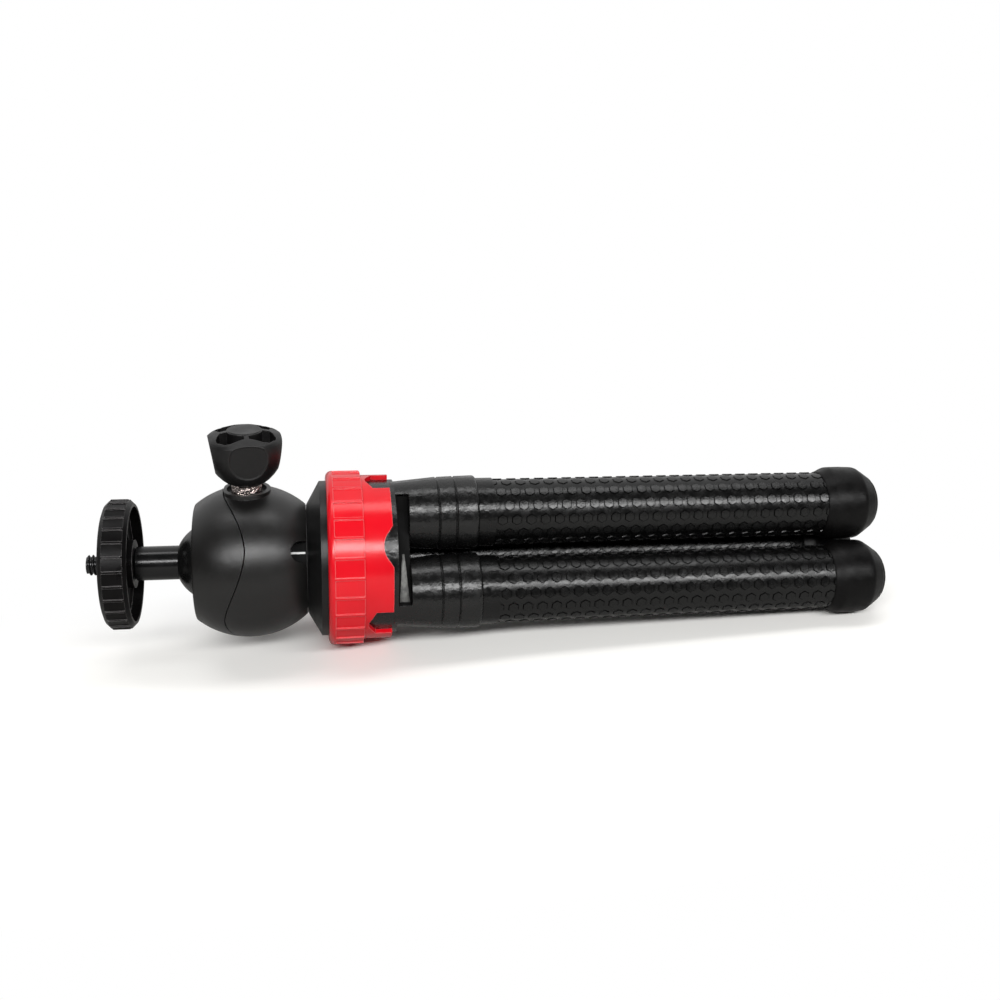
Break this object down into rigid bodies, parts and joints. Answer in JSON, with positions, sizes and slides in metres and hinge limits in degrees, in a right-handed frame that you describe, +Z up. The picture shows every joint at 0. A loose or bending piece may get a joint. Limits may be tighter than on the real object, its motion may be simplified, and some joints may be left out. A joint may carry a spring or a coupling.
{
  "type": "mini tripod",
  "caption": "Folded mini tripod: camera screw with knurled locking disc, ball head with clamp knob, red collar and three bendable rubber-sleeved legs",
  "frame": {"origin": "on the surface the folded tripod lies on, under the middle of its bounding box", "axes": "+X along the tripod from the camera screw towards the feet, +Z up, -Y towards the viewer; the tripod's own axis dips 2.88 degrees towards the feet"},
  "size_m": [0.2568, 0.055, 0.0724],
  "materials": {
    "steel": "bright zinc plate",
    "disc_black": "black anodised",
    "anodised_black": "glossy black anodised",
    "ball_black": "satin black anodised",
    "brass": "turned",
    "rubber": "moulded black rubber with raised hexagons",
    "foot_rubber": "smooth satin black rubber",
    "housing_black": "matte black moulded",
    "knob_black": "matte charcoal moulded",
    "drum_black": "satin black",
    "cone_black": "satin black moulded",
    "hub_black": "semi-gloss black moulded",
    "collar_black": "semi-gloss black moulded",
    "ring_red": "bright red moulded",
    "white_mark": "white index mark",
    "nylon": "natural nylon",
    "nickel": "nickel plated",
    "aluminium": "drawn wire"
  },
  "bodies": {
    "shoulder": {"hub": "hub_black", "hub_screws": "steel", "collar_ring": "ring_red", "shoulder_cap": "cone_black", "pan_drum": "drum_black", "pan_index_mark": "white_mark", "pan_screw": "steel", "pan_washer": "steel", "leg_collar_a": "collar_black", "sleeve_a_0": "rubber", "core_a_0": "aluminium", "leg_collar_b": "collar_black", "sleeve_b_0": "rubber", "core_b_0": "aluminium", "leg_collar_c": "collar_black", "sleeve_c_0": "rubber", "core_c_0": "aluminium"},
    "head": {"housing_cap": "housing_black", "housing_body": "housing_black", "housing_screws": "steel", "knob_bush": "nickel"},
    "ball_seat": {"ball_seat": "nylon"},
    "ball": {"ball": "ball_black"},
    "stem": {"stem": "anodised_black", "camera_stud": "steel"},
    "disc_pad": {"disc_pad": "rubber"},
    "locking_disc": {"locking_disc": "disc_black", "disc_insert": "brass"},
    "clamp_pin": {"clamp_pin": "steel"},
    "clamp_knob": {"knob": "knob_black", "knob_bolt": "steel"},
    "leg_a_1": {"sleeve_a_1": "rubber", "core_a_1": "aluminium"},
    "leg_a_2": {"sleeve_a_2": "rubber", "core_a_2": "aluminium"},
    "leg_a_3": {"sleeve_a_3": "rubber", "core_a_3": "aluminium", "foot_a": "foot_rubber", "foot_plug_a": "aluminium", "foot_sole_a": "foot_rubber"},
    "leg_b_1": {"sleeve_b_1": "rubber", "core_b_1": "aluminium"},
    "leg_b_2": {"sleeve_b_2": "rubber", "core_b_2": "aluminium"},
    "leg_b_3": {"sleeve_b_3": "rubber", "core_b_3": "aluminium", "foot_b": "foot_rubber", "foot_plug_b": "aluminium", "foot_sole_b": "foot_rubber"},
    "leg_c_1": {"sleeve_c_1": "rubber", "core_c_1": "aluminium"},
    "leg_c_2": {"sleeve_c_2": "rubber", "core_c_2": "aluminium"},
    "leg_c_3": {"sleeve_c_3": "rubber", "core_c_3": "aluminium", "foot_c": "foot_rubber", "foot_plug_c": "aluminium", "foot_sole_c": "foot_rubber"}
  },
  "joints": [
    {"name": "head_pan", "type": "hinge", "parent": "shoulder", "child": "head", "pos_m": [-0.06227, 0, 0.0283], "axis": [-0.9987, 0, 0.0503], "continuous": true},
    {"name": "ball_turn", "type": "hinge", "parent": "head", "child": "ball_seat", "pos_m": [-0.08983, 0, 0.02969], "axis": [-0.9987, 0, 0.0503], "continuous": true},
    {"name": "ball_tilt", "type": "hinge", "parent": "ball_seat", "child": "ball", "pos_m": [-0.08983, 0, 0.02969], "axis": [0, 1, 0], "range_deg": [-33, 33]},
    {"name": "stem_turn", "type": "hinge", "parent": "ball", "child": "stem", "pos_m": [-0.08983, 0, 0.02969], "axis": [-0.9987, 0, 0.0503], "continuous": true},
    {"name": "disc_travel", "type": "slide", "parent": "stem", "child": "disc_pad", "axis": [-0.9987, 0, 0.0503], "range_m": [0, 0.00381]},
    {"name": "disc_turn", "type": "hinge", "parent": "disc_pad", "child": "locking_disc", "pos_m": [-0.1141, 0, 0.03091], "axis": [-0.9987, 0, 0.0503], "range_deg": [0, 1080]},
    {"name": "pin_travel", "type": "slide", "parent": "head", "child": "clamp_pin", "axis": [0.0503, 0, 0.9987], "range_m": [0, 0.0008]},
    {"name": "knob_turn", "type": "hinge", "parent": "clamp_pin", "child": "clamp_knob", "pos_m": [-0.07975, 0, 0.02918], "axis": [0.0503, 0, 0.9987], "range_deg": [0, 360]},
    {"name": "leg_a_bend_1", "type": "hinge", "parent": "shoulder", "child": "leg_a_1", "pos_m": [0.01036, 0, 0.03896], "axis": [0, -1, 0], "range_deg": [0, 60]},
    {"name": "leg_a_bend_2", "type": "hinge", "parent": "leg_a_1", "child": "leg_a_2", "pos_m": [0.04232, 0, 0.03735], "axis": [0, -1, 0], "range_deg": [0, 60]},
    {"name": "leg_a_bend_3", "type": "hinge", "parent": "leg_a_2", "child": "leg_a_3", "pos_m": [0.07428, 0, 0.03575], "axis": [0, -1, 0], "range_deg": [0, 60]},
    {"name": "leg_b_bend_1", "type": "hinge", "parent": "shoulder", "child": "leg_b_1", "pos_m": [0.00928, -0.01239, 0.01754], "axis": [-0.0435, 0.5, -0.8649], "range_deg": [0, 60]},
    {"name": "leg_b_bend_2", "type": "hinge", "parent": "leg_b_1", "child": "leg_b_2", "pos_m": [0.04124, -0.01239, 0.01593], "axis": [-0.0435, 0.5, -0.8649], "range_deg": [0, 60]},
    {"name": "leg_b_bend_3", "type": "hinge", "parent": "leg_b_2", "child": "leg_b_3", "pos_m": [0.0732, -0.01239, 0.01432], "axis": [-0.0435, 0.5, -0.8649], "range_deg": [0, 60]},
    {"name": "leg_c_bend_1", "type": "hinge", "parent": "shoulder", "child": "leg_c_1", "pos_m": [0.00928, 0.01239, 0.01754], "axis": [0.0435, 0.5, 0.8649], "range_deg": [0, 60]},
    {"name": "leg_c_bend_2", "type": "hinge", "parent": "leg_c_1", "child": "leg_c_2", "pos_m": [0.04124, 0.01239, 0.01593], "axis": [0.0435, 0.5, 0.8649], "range_deg": [0, 60]},
    {"name": "leg_c_bend_3", "type": "hinge", "parent": "leg_c_2", "child": "leg_c_3", "pos_m": [0.0732, 0.01239, 0.01432], "axis": [0.0435, 0.5, 0.8649], "range_deg": [0, 60]}
  ],
  "couplings": [
    {"joint": "disc_turn", "follows": "disc_travel", "rad_per_m": 4947.4},
    {"joint": "knob_turn", "follows": "pin_travel", "rad_per_m": 7854}
  ]
}
